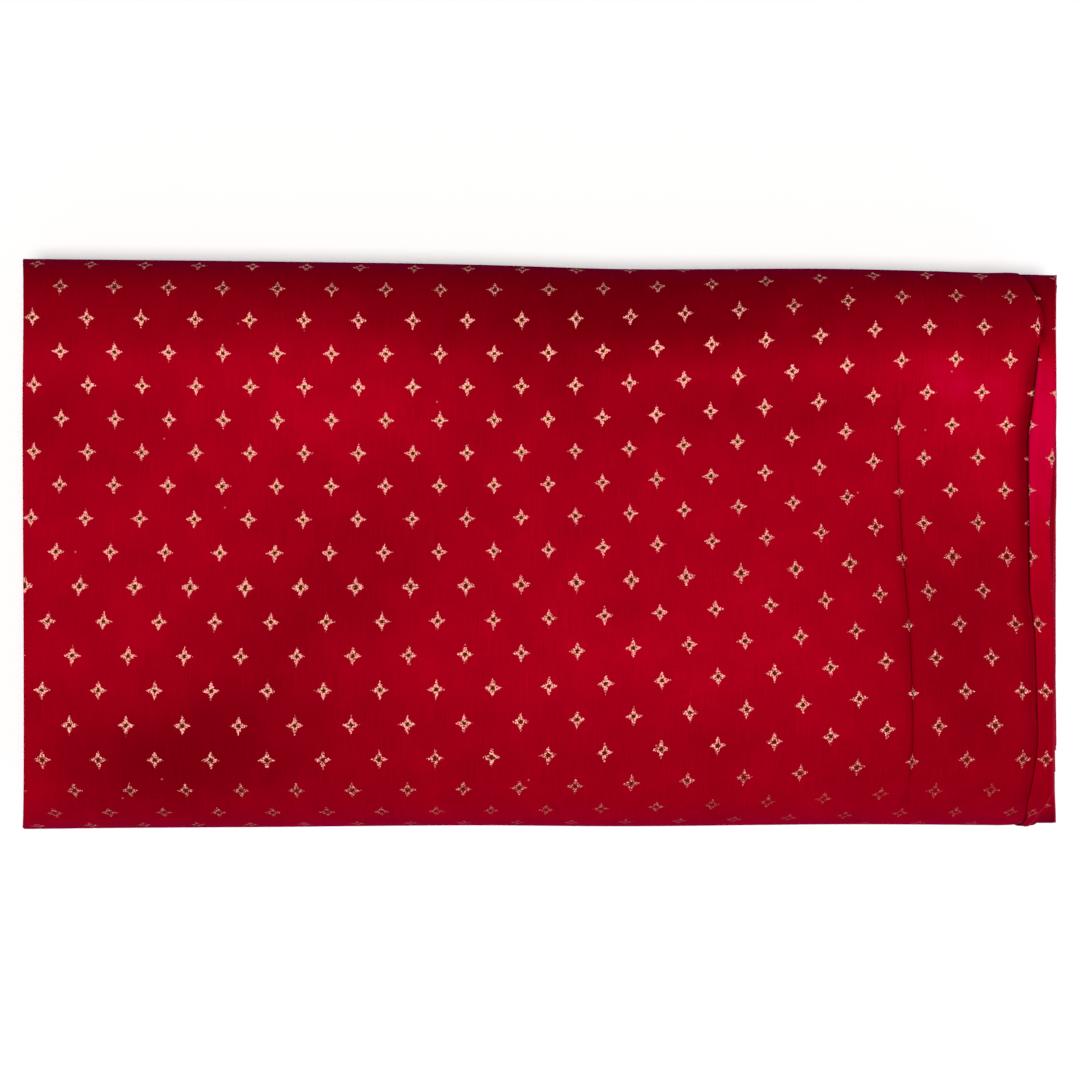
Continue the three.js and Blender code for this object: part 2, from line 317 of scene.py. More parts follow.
def painted_tuck_shade(columns, x, along, lean):
    """How much painted shade each column of the upper ply gets beside the tuck: left of it where it
    leans to the middle, and on the strip where it leans to the end. Below 0, it gets painted light."""
    tuck_x = value_at(TUCK, "edge", along)
    left_of_tuck = fade(np.minimum(x - tuck_x + LEFT_DARK["from"], 0.0), LEFT_DARK["wide"])
    right_of_tuck = np.maximum(x - tuck_x, 0.0)
    under_tuck = UNDER_DARK["dark"] * fade(right_of_tuck, UNDER_DARK["wide"])
    on_main = columns == "main"
    inside = columns == "inside"
    on_strip = columns == "strip"
    depth = value_at(VALLEY, "dark", along)
    dark = lean * depth * (on_main * left_of_tuck + INSIDE_DARK * inside)
    dark = dark + (1.0 - lean) * (on_strip * under_tuck + inside)
    lit = LIT_LINE["lit"] * lean * depth * fade(right_of_tuck, LIT_LINE["wide"])
    return np.where(on_strip, dark - lit - value_at(STRIP, "paler", along), dark)


def dented(x, along):
    """How far the upper ply stands up from the pack's outline, and the painted light and shade there."""
    by_tuck, by_crease = valleys(x, along)
    height = -TUCK_VALLEY["deep"] * by_tuck - CREASE_VALLEY["deep"] * by_crease
    shade = 1.0 + value_at(EDGE_PAINTED_SHADE, "shade", along)
    for dent in DENTS:
        turn = math.radians(dent["turn"])
        dx = x - dent["x"]
        dy = along - dent["along"]
        lengthwise = (dx * math.cos(turn) + dy * math.sin(turn)) / dent["long"]
        crosswise = (dy * math.cos(turn) - dx * math.sin(turn)) / dent["wide"]
        there = np.exp(-0.5 * (lengthwise**2 + crosswise**2))
        height += dent["up"] * there
        shade += dent["shade"] * there
    return height, shade


# How far handling has worn the printed foil: most on the edges, and more towards the front right
FOIL_WORN = {
    "along": [-40, -14, -6, 5, 20, 120, 185, 195, 207, 213, 222, 240, 247, 300],
    "worn": [0.95, 0.9, 0.6, 0.15, 0.05, 0.15, 0.27, 0.35, 0.6, 0.7, 0.9, 1.08, 1.18, 0.8],
}
WORN_RIGHTWARD = {
    "x": [-150, 60, 200],
    "more": [0.0, 0.15, 0.5],
    "along": [-15, 0, 50, 90, 110, 150, 175, 230, 300],
    "share": [0, 0.1, 0.3, 1.1, 1.45, 1.4, 0.9, 0.75, 0.6],
}
MOST_WORN = 1.2


def foil_wear(x, along):
    """How far the printed foil is worn at a place of the upper ply."""
    rightward = np.interp(x, WORN_RIGHTWARD["x"], WORN_RIGHTWARD["more"])
    rightward = rightward * value_at(WORN_RIGHTWARD, "share", along)
    return np.clip(value_at(FOIL_WORN, "worn", along) + rightward, 0.0, MOST_WORN)


# The cloth's own threads: the print's stars run askew to the pack where the cloth was pulled, and
# slip ahead where it is drawn over the front edge
THREADS = {
    "x": [-246, -120, -20, 60, 120, 180, 236],
    "ahead": [0.0, 0.7, 3.2, 8.7, 13.1, 20.0, 22.0],
    "along": [-30, 40, 110, 180, 230, 260],
    "stretch": [-0.009, 0.003, 0.0075, -0.0105, 0.0035, 0.028],
    "aside": [-1.3, -0.8, -0.8, -1.0, 0.1, 1.5],
}
STAR_COLUMN_X = 3.2
SKEW = 0.000052
SKEW_FROM = 140.0
FRONT_SLIP = 6.2
SLIP_FROM = 215.0
SLIP_FULL = 260.0
SLIP_GONE = 460.0


def print_place(cloth_x, x, along):
    """Where a point of the upper ply lies in the print, across and along the cloth."""
    across = (cloth_x - STAR_COLUMN_X) * (1.0 + eased(THREADS["along"], THREADS["stretch"], along))
    across += eased(THREADS["along"], THREADS["aside"], along)
    ahead = eased(THREADS["x"], THREADS["ahead"], x)
    over_front = ramp(along, SLIP_FROM, SLIP_FULL) ** 2 * (1.0 - ramp(along, SLIP_FULL, SLIP_GONE))
    return across, along + ahead + SKEW * x * (along - SKEW_FROM) + FRONT_SLIP * over_front


# How finely the sheet is divided: degrees round the edges, shares of the top and of the underside,
# steps of the second turn up to where the loose end covers it, and columns from end to end
EDGE_STEP = 6.0
TOP_STEP = 0.02
UNDER_STEP = 0.08
OVERLAP_STEPS = 34
MAIN_COLUMNS = 104
BETWEEN_COLUMNS = 12
STRIP_COLUMNS = 9
FOLD_COLUMNS = 7
LOWER_COLUMNS = 20
LOWER_END_COLUMNS = 46
LOWER_FINE_FROM = 160.0
FAR_FROM_SELVEDGE = 250.0


def fold_samples(fold, fine):
    """Distances along the cloth through a fold, set closer where it turns."""
    knots = np.array(fold["cloth"], float)
    places = [knots[0]]
    for a, b in zip(knots[:-1], knots[1:]):
        pieces = max(1, int(round((b - a) / fine)))
        places.extend(np.linspace(a, b, pieces + 1)[1:])
    return np.array(places)


def crease_columns(crease_x, sharp):
    """Across the crease from left to right: places, heights, places in the print and painted shade,
    and then how much cloth the crease has taken up."""
    cloth = fold_samples(CREASE_FOLD, CREASE_SAMPLES)
    folded = eased(CREASE_FOLD["cloth"], CREASE_FOLD["x"], cloth)
    up = eased(CREASE_FOLD["cloth"], CREASE_FOLD["up"], cloth) * sharp
    plain = cloth[0] + (cloth - cloth[0]) * ((folded[-1] - folded[0]) / (cloth[-1] - cloth[0]))
    place = crease_x + plain + (folded - plain) * sharp
    printed = crease_x + plain + (cloth - plain) * sharp
    dark = PINCH_PAINTED_SHADE * sharp * ((cloth > PINCHED[0]) & (cloth < PINCHED[1]))
    return place, up, printed, dark, (cloth[-1] - folded[-1]) * sharp


def tuck_columns(tuck_x, lean, height, shows):
    """Across the tuck from left to right: distances along the cloth, places and heights. On the
    second turn, under the loose end, it is smoothed out."""
    cloth = fold_samples(TUCK_FOLD, TUCK_SAMPLES)
    middle_x, middle_up, end_x, end_up, pressed_up = (
        eased(TUCK_FOLD["cloth"], TUCK_FOLD[name], cloth)
        for name in ("middle_x", "middle_up", "end_x", "end_up", "pressed_up")
    )
    upright = 4.0 * lean * (1.0 - lean)
    loop = np.sin(np.pi * np.clip(cloth / LOOP_LENGTH, 0.0, 1.0))
    folded = end_x + (middle_x - end_x) * lean - LOOP_WIDER * upright * loop
    standing = end_up + (middle_up - end_up) * lean + LOOP_HIGHER * upright * loop
    if not shows:
        smoothed = cloth * ((folded[-1] - folded[0]) / (cloth[-1] - cloth[0]))
        return cloth, tuck_x + smoothed, np.zeros_like(cloth)
    return cloth, tuck_x + folded, pressed_up + (standing - pressed_up) * height


def fold_round(left, radius, columns):
    """The columns of the lengthwise fold: their places, and how far down to the lower ply."""
    around = np.linspace(0.0, math.pi, columns + 2)[1:-1]
    return left - radius * np.sin(around), 0.5 * (1.0 - np.cos(around))


def selvedge_to_selvedge(printed, fold, lower, left):
    """A row's places in the print and its distances from the selvedge, from the upper ply's
    selvedge round the fold to the lower ply's, given the upper ply's places in the print."""
    places = np.concatenate([printed[::-1], 2 * left - fold, 2 * left - lower])
    far = np.full_like(fold, FAR_FROM_SELVEDGE)
    return places, np.concatenate([(printed[-1] - printed)[::-1], far, lower[-1] - lower])


def outer_row(step, along):
    """One row of the outer turn, from the upper ply's selvedge round the fold to the lower ply's:
    places along the pack, depths in turns, rises, places in the print, distances from the selvedge
    and how much painted shade it gets."""
    end = float(reach(rays(step, np.array([0.0]))[0][:, 0]))
    inset = float(value_at(SELVEDGE, "in", along))
    shows = step.turn == 0

    crease_x = float(eased(CREASE["along"], CREASE["x"], along))
    sharp = float(value_at(CREASE, "sharp", along)) * shows
    crease, crease_up, crease_print, crease_dark, taken = crease_columns(crease_x, sharp)

    tuck_x = float(value_at(TUCK, "edge", along))
    lean = float(value_at(TUCK, "lean", along)) * 0.5 + 0.5
    height = float(value_at(TUCK, "height", along))
    tuck_cloth, tuck, tuck_up = tuck_columns(tuck_x, lean, height, shows)
    tuck_print = tuck_x + tuck_cloth + taken

    across = np.linspace(0.0, 1.0, STRIP_COLUMNS + 1)[1:]
    strip = tuck[-1] + (end - inset - tuck[-1]) * across
    strip_up = tuck_up[-1] * np.sqrt(np.maximum(1.0 - across**3, 0.0))
    pulled = float(value_at(STRIP_PULLED, "by", along))
    strip_print = tuck_print[-1] + (strip - tuck[-1]) + pulled * across

    left = -end + FOLD_RADIUS
    main = np.linspace(left, crease[0], MAIN_COLUMNS + 1)[:-1]
    between = np.linspace(crease[-1], tuck[0], BETWEEN_COLUMNS + 1)[1:-1]
    upper = np.concatenate([main, crease, between, tuck, strip])
    upper_print = np.concatenate([main, crease_print, between + taken, tuck_print, strip_print])
    upper_up = np.concatenate(
        [np.zeros_like(main), crease_up, np.zeros_like(between), tuck_up, strip_up]
    )
    fold, down = fold_round(left, FOLD_RADIUS, FOLD_COLUMNS)
    lower_end = end - inset * LOWER_IN_SHARE - LOWER_SHORT
    lower = np.concatenate([
        np.linspace(left, LOWER_FINE_FROM, LOWER_COLUMNS + 1),
        np.linspace(LOWER_FINE_FROM, lower_end, LOWER_END_COLUMNS + 1)[1:],
    ])
    x = np.concatenate([upper[::-1], fold, lower])
    depth = np.concatenate([np.zeros_like(upper), PLY_GAP * down, np.full_like(lower, PLY_GAP)])
    rise = np.concatenate([upper_up[::-1], np.zeros_like(fold), np.zeros_like(lower)])
    printed, from_selvedge = selvedge_to_selvedge(upper_print, fold, lower, left)

    columns = np.concatenate([
        np.full(len(main) + len(crease) + len(between), "main"),
        np.where(tuck_cloth < IN_TUCK[0], "main", np.where(tuck_cloth < IN_TUCK[1], "inside", "strip")),
        np.full(len(strip), "strip"),
    ])
    # Painted shade beside the tuck, and in the crease's pinch
    dark = painted_tuck_shade(columns, upper, along, lean) * shows
    dark[len(main):len(main) + len(crease)] += crease_dark
    darkness = np.concatenate([dark[::-1], np.zeros(len(fold) + len(lower))])
    return x, depth, rise, printed, from_selvedge, darkness


def sheet_object(name, rows):
    """A cloth sheet from rows of points, each with its places across and along the print and from
    the selvedge and the loose end, its painted light and shade, and its wear. These become UV
    maps and attributes."""
    points, across, along, selvedge, end, shade, wear = (np.array(values) for values in zip(*rows))
    count, columns = points.shape[:2]
    mesh = bpy.data.meshes.new(name)
    index = np.arange(count * columns).reshape(count, columns)
    quads = np.stack(
        [index[:-1, :-1], index[:-1, 1:], index[1:, 1:], index[1:, :-1]], axis=-1
    ).reshape(-1, 4)
    mesh.from_pydata((points.reshape(-1, 3) * MM).tolist(), [], quads.tolist())
    corners = np.zeros(len(mesh.loops), int)
    mesh.loops.foreach_get("vertex_index", corners)
    for layer_name, first, second in (("Print", across, along), ("Edges", selvedge, end)):
        layer = mesh.uv_layers.new(name=layer_name)
        pairs = np.stack([first.reshape(-1)[corners], second.reshape(-1)[corners]], axis=-1)
        layer.data.foreach_set("uv", pairs.astype(np.float32).reshape(-1))
    mesh.uv_layers["Print"].active_render = True
    for attribute_name, values in (("Shade", shade), ("Wear", wear)):
        attribute = mesh.attributes.new(attribute_name, "FLOAT", "POINT")
        attribute.data.foreach_set("value", values.astype(np.float32).reshape(-1))
    piece = bpy.data.objects.new(name, mesh)
    bpy.context.scene.collection.objects.link(piece)
    mesh.shade_smooth()
    return piece


outer_steps = winding_steps(0, 1, EDGE_STEP, TOP_STEP, UNDER_STEP)
second_start = next(k for k, step in enumerate(outer_steps) if step.turn == 1)
outer_steps = outer_steps[: second_start + OVERLAP_STEPS]
SAMPLED_X = [-250.0, 0.0, 250.0]
along_at = np.array([distance_along(outer_steps, x) for x in SAMPLED_X])
along_middle = along_at[1]

outer_rows = []
for k, step in enumerate(outer_steps):
    x, depth, rise, printed, from_selvedge, darkness = outer_row(step, along_middle[k])
    along = eased(SAMPLED_X, along_at[:, k], x)
    stands, shade = dented(x, along)
    rise = rise + stands * (1.0 - way_in(step, depth))
    # Painted shade beside the tuck and in the crease's valley darkens the cloth's colour
    in_crease = valleys(x, along)[1]
    shade = shade * (1.0 - TUCK_PAINTED_SHADE * darkness) * (1.0 - CREASE_SHADE * in_crease)
    points = cloth_point(step, x, depth, rise)
    across, ahead = print_place(printed, x, along)
    from_end = along - along_middle[0]
    outer_rows.append((points, across, ahead, from_selvedge, from_end, shade, foil_wear(x, along)))
outer_turn = sheet_object("outer_turn", outer_rows)


def add_node(tree, kind, inputs=None, **settings):
    """A node with its settings and, by socket name or number, what each input holds or links to."""
    node = tree.nodes.new(kind)
    for name, value in settings.items():
        setattr(node, name, value)
    for socket, value in (inputs or {}).items():
        if isinstance(value, bpy.types.NodeSocket):
            tree.links.new(value, node.inputs[socket])
        else:
            node.inputs[socket].default_value = value
    return node


def maths(tree, operation, *terms, clamp=False):
    """A maths node's output: each of its terms is a number or another node's output."""
    settings = {"operation": operation, "use_clamp": clamp}
    return add_node(tree, "ShaderNodeMath", dict(enumerate(terms)), **settings).outputs[0]


def sums(tree):
    """Adding, subtracting, multiplying and dividing in a node tree."""
    return [partial(maths, tree, name) for name in ("ADD", "SUBTRACT", "MULTIPLY", "DIVIDE")]


def spread(tree, value, low, high, to_low=0.0, to_high=1.0, way="SMOOTHSTEP"):
    """A value's way from low to high, as a way from to_low to to_high: smooth, or LINEAR."""
    inputs = {"Value": value, "From Min": low, "From Max": high, "To Min": to_low, "To Max": to_high}
    return add_node(tree, "ShaderNodeMapRange", inputs, interpolation_type=way).outputs["Result"]


def mixed(tree, share, a, b):
    """A mix of two colours by the second one's share. Each is a tuple or another node's output."""
    return add_node(tree, "ShaderNodeMix", {"Factor": share, 6: a, 7: b}, data_type="RGBA").outputs[2]


def noise(tree, place, scale, detail):
    """Noise that changes about as often as scale says, to each millimetre of the cloth."""
    inputs = {"Vector": place, "Scale": scale, "Detail": detail}
    return add_node(tree, "ShaderNodeTexNoise", inputs, noise_dimensions="2D").outputs[0]


def new_group(name, inputs, outputs):
    """A shader node group with named sockets: its tree, and its input and output nodes."""
    tree = bpy.data.node_groups.new(name, "ShaderNodeTree")
    for socket, kind, value in inputs:
        made = tree.interface.new_socket(socket, in_out="INPUT", socket_type=kind)
        if value is not None:
            made.default_value = value
    for socket in outputs:
        tree.interface.new_socket(socket, in_out="OUTPUT", socket_type="NodeSocketFloat")
    return tree, tree.nodes.new("NodeGroupInput"), tree.nodes.new("NodeGroupOutput")


# The voile's threads, and how unevenly they took the dye: for the warp's streaks, the weft's and soft
# clouds, how often they change across and along the cloth, and how much they lighten or deepen it.
# The warp's streaks are stronger in patches, and stand out. Specks of lint lie far apart
THREAD_PITCH = 0.42
THREAD_SHADE = 0.04
WARP_STREAKS = (1.4, 0.07)
WARP_SHADE = 0.20
WEFT_STREAKS = (0.09, 1.3)
WEFT_SHADE = 0.14
CLOUDS = (0.045, 0.045)
CLOUD_SHADE = 0.34
PATCHES = (0.08, 0.05)
PATCH_EDGE = (0.35, 0.65)
PATCH_SHADE = 0.18
THREAD_HEIGHT = 0.5
WARP_HEIGHT = 0.8
LINT_SCALE = 0.011
LINT_EDGE = (0.002, 0.007)
LINT_STRENGTH = 0.4


def voile_weave_group():
    """Plain-woven cotton voile in the cloth's own millimetres: a shade that varies with uneven
    threads, the threads' height, and specks of lint."""
    tree, given, made = new_group(
        "Voile weave",
        [("Cloth", "NodeSocketVector", None), ("Thread pitch", "NodeSocketFloat", THREAD_PITCH)],
        ["Shade", "Height", "Lint"],
    )
    plus, minus, times, over = sums(tree)
    cloth, pitch = given.outputs["Cloth"], given.outputs["Thread pitch"]
    place = add_node(tree, "ShaderNodeSeparateXYZ", {0: cloth})
    waves = [
        maths(tree, "SINE", times(over(place.outputs[axis], pitch), 2 * math.pi)) for axis in ("X", "Y")
    ]
    crossing = times(*waves)

    def streaks(scale, detail=2.0):
        stretched = add_node(tree, "ShaderNodeMapping", {"Vector": cloth, "Scale": (*scale, 1.0)})
        return noise(tree, stretched.outputs[0], 1.0, detail)

    warp = streaks(WARP_STREAKS)
    patchy = times(spread(tree, streaks(PATCHES), *PATCH_EDGE), PATCH_SHADE)
    uneven = times(minus(warp, 0.5), plus(patchy, WARP_SHADE))
    uneven = plus(uneven, times(minus(streaks(WEFT_STREAKS), 0.5), WEFT_SHADE))
    uneven = plus(uneven, times(minus(streaks(CLOUDS, detail=4.0), 0.5), CLOUD_SHADE))
    uneven = plus(uneven, times(crossing, THREAD_SHADE))
    tree.links.new(plus(uneven, 1.0), made.inputs["Shade"])
    height = plus(times(crossing, THREAD_HEIGHT), times(warp, WARP_HEIGHT))
    tree.links.new(height, made.inputs["Height"])
    dots = add_node(
        tree,
        "ShaderNodeTexVoronoi",
        {"Vector": cloth, "Scale": LINT_SCALE, "Randomness": 1.0},
        voronoi_dimensions="2D",
        feature="F1",
    )
    lint = spread(tree, dots.outputs["Distance"], *LINT_EDGE, LINT_STRENGTH, 0.0)
    tree.links.new(lint, made.inputs["Lint"])
    return tree


# The print's lattice of stars. After the ninth row its block was laid again, a little too far on
STAR_STEP_ACROSS = 25.9
STAR_STEP_ALONG = 15.93
FIRST_STAR_ROW = -10.5
JOIN_AT = 16.5 + 8 * STAR_STEP_ALONG
JOIN_GAP = 0.8

# One star: half the width and half the length of its side petals and of its end petals, how slim
# they taper, how ragged the foil's edges are, its bare round middle and the pinker foil round that
SIDE_PETALS = (3.65, 1.62)
END_PETALS = (1.5, 4.15)
PETAL_TAPER = 1.15
STAR_EDGE = (0.93, 1.07)
STAR_RAGGED = 1.2
HOLE_EDGE = (0.68, 1.05)
HOLE_RAGGED = 1.6
HOLE_WORN = -0.4
HEART_EDGE = (1.0, 2.6)
RAGGED_SCALE = 1.3

# Its foil: bare flecks, a dark halo of painted shade, stains, painted highlights that glint more where
# it is worn, and a tone that drifts over the cloth, each with its scale and the range of the noise in
# which it comes up
FLECK_SCALE = 1.25
FLECKS = (0.35, 0.42)
FLECK_FOIL = 0.08
FLECKS_WORN = 0.15
HALO = (0.95, 1.35)
HALO_STRENGTH = 0.22
STAIN_SCALE = 1.6
STAINS = (0.54, 0.63)
STAIN_STRENGTH = 0.8
HEART_STAINED = 0.06
GLINT_SCALE = 1.35
GLINTS = (0.52, 0.64)
GLINT_STRENGTH = 0.7
GLINTS_WORN = 0.10
TONE_SCALE = 0.011
WORN_AWAY_POWER = 6.0
WORN_AWAY = 0.25
PINK_WORN = 0.7


def star_print_group():
    """A small four-pointed star buti, printed with pale gold foil at every place of a lattice whose
    alternate rows are shifted by half a step. It has a bare round centre and worn, speckled foil,
    with painted glints and a dark rim of painted shade."""
    tree, given, made = new_group(
        "Star print",
        [
            ("Cloth", "NodeSocketVector", None),
            ("Step across", "NodeSocketFloat", STAR_STEP_ACROSS),
            ("Step along", "NodeSocketFloat", STAR_STEP_ALONG),
            ("First row", "NodeSocketFloat", FIRST_STAR_ROW),
            ("Wear", "NodeSocketFloat", 0.0),
        ],
        ["Foil", "Outline", "Heart", "Tarnish", "Glint", "Tone"],
    )
    plus, minus, times, over = sums(tree)
    step_across, step_along = given.outputs["Step across"], given.outputs["Step along"]
    worn = given.outputs["Wear"]
    place = add_node(tree, "ShaderNodeSeparateXYZ", {0: given.outputs["Cloth"]})
    from_first = minus(place.outputs["Y"], given.outputs["First row"])
    past_join = maths(tree, "GREATER_THAN", from_first, JOIN_AT)
    rows = over(minus(from_first, times(past_join, JOIN_GAP)), step_along)
    row = maths(tree, "ROUND", rows)
    dy = times(minus(rows, row), step_along)
    shifted = times(maths(tree, "PINGPONG", row, 1.0), 0.5)
    columns = minus(over(place.outputs["X"], step_across), shifted)
    dx = times(minus(columns, maths(tree, "ROUND", columns)), step_across)
    wide, long = maths(tree, "ABSOLUTE", dx), maths(tree, "ABSOLUTE", dy)

    def grain(scale, detail):
        return noise(tree, given.outputs["Cloth"], scale, detail)

    def petals(half_wide, half_long):
        spans = over(wide, half_wide), over(long, half_long)
        return plus(*(maths(tree, "POWER", span, PETAL_TAPER) for span in spans))

    ragged = minus(grain(RAGGED_SCALE, 2.0), 0.5)
    shape = maths(tree, "MINIMUM", petals(*SIDE_PETALS), petals(*END_PETALS))
    shape = plus(shape, times(ragged, STAR_RAGGED))
    star = spread(tree, shape, *STAR_EDGE, 1.0, 0.0)
    from_middle = maths(tree, "SQRT", plus(times(dx, dx), times(dy, dy)))
    heart = spread(tree, from_middle, *HEART_EDGE, 1.0, 0.0)
    from_hole = plus(plus(from_middle, times(ragged, HOLE_RAGGED)), times(worn, HOLE_WORN))
    round_hole = spread(tree, from_hole, *HOLE_EDGE)
    flecks = minus(grain(FLECK_SCALE, 2.0), times(worn, FLECKS_WORN))
    unflecked = spread(tree, flecks, *FLECKS, FLECK_FOIL, 1.0)
    left = minus(1.0, times(maths(tree, "POWER", worn, WORN_AWAY_POWER), WORN_AWAY), clamp=True)
    # Painted shade: a dark rim round each star
    halo = spread(tree, shape, *HALO, HALO_STRENGTH, 0.0)
    unworn_pink = minus(1.0, times(worn, PINK_WORN), clamp=True)
    stained = plus(grain(STAIN_SCALE, 1.0), times(heart, HEART_STAINED))
    # Painted highlights: glints on the foil, more where it is worn
    painted_glints = plus(grain(GLINT_SCALE, 1.0), times(worn, GLINTS_WORN))
    results = {
        "Foil": times(times(times(star, round_hole), unflecked), left),
        "Outline": times(maths(tree, "MAXIMUM", halo, minus(1.0, round_hole)), left),
        "Heart": times(heart, unworn_pink),
        "Tarnish": spread(tree, stained, *STAINS, 0.0, STAIN_STRENGTH),
        "Glint": spread(tree, painted_glints, *GLINTS, 0.0, GLINT_STRENGTH),
        "Tone": grain(TONE_SCALE, 1.0),
    }
    for name, value in results.items():
        tree.links.new(value, made.inputs[name])
    return tree


voile_weave = voile_weave_group()
star_print = star_print_group()

# The dye in painted shade, in painted light and in brighter painted light, where it turns rose, the
# selvedge's thread, lint, the bare print and the foil's golds
CRIMSON_IN_PAINTED_SHADE = (0.056, 0.0, 0.0005, 1.0)
CRIMSON_IN_PAINTED_LIGHT = (0.448, 0.0, 0.0125, 1.0)
ROSE_IN_PAINTED_LIGHT = (0.448, 0.0, 0.026, 1.0)
SELVEDGE_PINK = (0.34, 0.012, 0.03, 1.0)
LINT_PINK = (0.60, 0.25, 0.25, 1.0)
BARE_BROWN = (0.09, 0.005, 0.001, 1.0)
PINK_GOLD = (0.88, 0.265, 0.275, 1.0)
PALE_GOLD = (0.84, 0.385, 0.27, 1.0)
YELLOW_GOLD = (0.74, 0.43, 0.22, 1.0)
# Painted highlight: the white of the foil's glints
GLINT_WHITE = (1.0, 0.56, 0.47, 1.0)
TARNISH = (0.22, 0.09, 0.03, 1.0)

# The shades, painted light and shade times the threads' uneven dye, between which the dye goes from
# its painted shade to its painted light and on to rose, the selvedge's width and strength, the tones
# between which pale gold turns yellow, and the surface
PAINTED_SHADE_TO_LIGHT = (0.2, 1.6)
PAINTED_LIGHT_TO_ROSE = (1.15, 1.5)
SELVEDGE_EDGE = (0.3, 0.9)
SELVEDGE_STRENGTH = 0.6
PALE_TO_YELLOW = (0.5, 0.64)
CLOTH_ROUGHNESS = 0.85
FOIL_SMOOTHER = 0.3
FOIL_METAL = 0.15
VIOLET_SHEEN = {"Sheen Weight": 0.03, "Sheen Roughness": 0.45, "Sheen Tint": (0.65, 0.02, 0.75, 1.0)}
THREAD_BUMP = {"Strength": 0.25, "Distance": 0.00012}


def voile_material(name, printed):
    """Voile seen from its printed face, or from its back, where only the dye shows."""
    material = bpy.data.materials.new(name)
    material.use_nodes = True
    tree = material.node_tree
    tree.nodes.clear()
    minus, times = sums(tree)[1:3]
    cloth = add_node(tree, "ShaderNodeUVMap", uv_map="Print").outputs[0]
    edges = add_node(tree, "ShaderNodeUVMap", uv_map="Edges").outputs[0]
    weave = add_node(tree, "ShaderNodeGroup", node_tree=voile_weave)
    tree.links.new(cloth, weave.inputs["Cloth"])
    # Painted light and shade: the sheet's Shade attribute deepens the dye, brightens it and turns it rose
    painted_shading = add_node(tree, "ShaderNodeAttribute", attribute_name="Shade")
    shade = times(weave.outputs["Shade"], painted_shading.outputs["Fac"])
    bright = mixed(tree, spread(tree, shade, *PAINTED_LIGHT_TO_ROSE), CRIMSON_IN_PAINTED_LIGHT, ROSE_IN_PAINTED_LIGHT)
    dye_with_painted_shading = mixed(tree, spread(tree, shade, *PAINTED_SHADE_TO_LIGHT, way="LINEAR"), CRIMSON_IN_PAINTED_SHADE, bright)
    from_selvedge = add_node(tree, "ShaderNodeSeparateXYZ", {0: edges}).outputs["X"]
    selvedge = spread(tree, from_selvedge, *SELVEDGE_EDGE, SELVEDGE_STRENGTH, 0.0)
    colour = mixed(tree, selvedge, dye_with_painted_shading, SELVEDGE_PINK)
    colour = mixed(tree, weave.outputs["Lint"], colour, LINT_PINK)
    surface = {"Roughness": times(weave.outputs["Shade"], CLOTH_ROUGHNESS)}
    if printed:
        stars = add_node(tree, "ShaderNodeGroup", node_tree=star_print)
        tree.links.new(cloth, stars.inputs["Cloth"])
        wear = add_node(tree, "ShaderNodeAttribute", attribute_name="Wear")
        tree.links.new(wear.outputs["Fac"], stars.inputs["Wear"])
        foil = stars.outputs["Foil"]
        gold = mixed(tree, spread(tree, stars.outputs["Tone"], *PALE_TO_YELLOW), PALE_GOLD, YELLOW_GOLD)
        gold = mixed(tree, stars.outputs["Heart"], PINK_GOLD, gold)
        # Painted highlight: white glints on the foil
        gold = mixed(tree, stars.outputs["Glint"], gold, GLINT_WHITE)
        gold = mixed(tree, stars.outputs["Tarnish"], gold, TARNISH)
        # The bare middle of each star, and its dark rim of painted shade
        colour = mixed(tree, stars.outputs["Outline"], colour, BARE_BROWN)
        colour = mixed(tree, foil, colour, gold)
        surface["Metallic"] = times(foil, FOIL_METAL)
        surface["Roughness"] = minus(surface["Roughness"], times(foil, FOIL_SMOOTHER))
    threads = add_node(tree, "ShaderNodeBump", {"Height": weave.outputs["Height"], **THREAD_BUMP})
    surface.update({"Base Color": colour, "Normal": threads.outputs[0], "Specular IOR Level": 0.0})
    shader = add_node(tree, "ShaderNodeBsdfPrincipled", {**surface, **VIOLET_SHEEN})
    add_node(tree, "ShaderNodeOutputMaterial", {"Surface": shader.outputs[0]})
    return material


voile_face = voile_material("Crimson voile, printed face", True)
voile_back = voile_material("Crimson voile, back", False)


def finish_cloth(piece):
    """Gives a cloth sheet its thickness and its two faces."""
    piece.data.materials.append(voile_face)
    piece.data.materials.append(voile_back)
    bpy.ops.object.select_all(action="DESELECT")
    piece.select_set(True)
    bpy.context.view_layer.objects.active = piece
    solid = piece.modifiers.new("Thickness", "SOLIDIFY")
    solid.thickness = CLOTH_THICKNESS * MM
    solid.offset = -1.0
    solid.material_offset = 1
    bpy.ops.object.modifier_apply(modifier=solid.name)


finish_cloth(outer_turn)
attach(outer_turn, "root")
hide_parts("turban_cloth")


# The inner turns: the rest of the same length of voile, wound flat from the pack's heart outwards.
# Their folds show at the left end, and the two selvedges of each turn at the right end.
INNER_EDGE_STEP = 13.5
INNER_TOP_STEP = 0.1
INNER_FOLD_RADIUS = 0.55
INNER_FOLD_COLUMNS = 4
END_STATIONS = [0.0, 1.2, 3.0, 6.0, 11.0, 20.0, 36.0]
MIDDLE_STATIONS = [-150.0, -75.0, 0.0, 75.0, 150.0]

# The second turn starts a little under the first one's end, and comes up to its own depth
START_DEPTH = 0.12
START_STEPS = 20.0

# How far the ends lie in, how far fold and selvedges drift from there, how far each sways out of its
# turn's place, and how far from the end that begins
END_IN = 0.4
FOLD_DRIFT = 0.9
SELVEDGE_DRIFT = 0.8
FOLD_SWAY = 0.10
FOLD_SWAY_FROM = 9.0
SELVEDGE_SWAY = 0.13
SELVEDGE_SWAY_FROM = 12.0

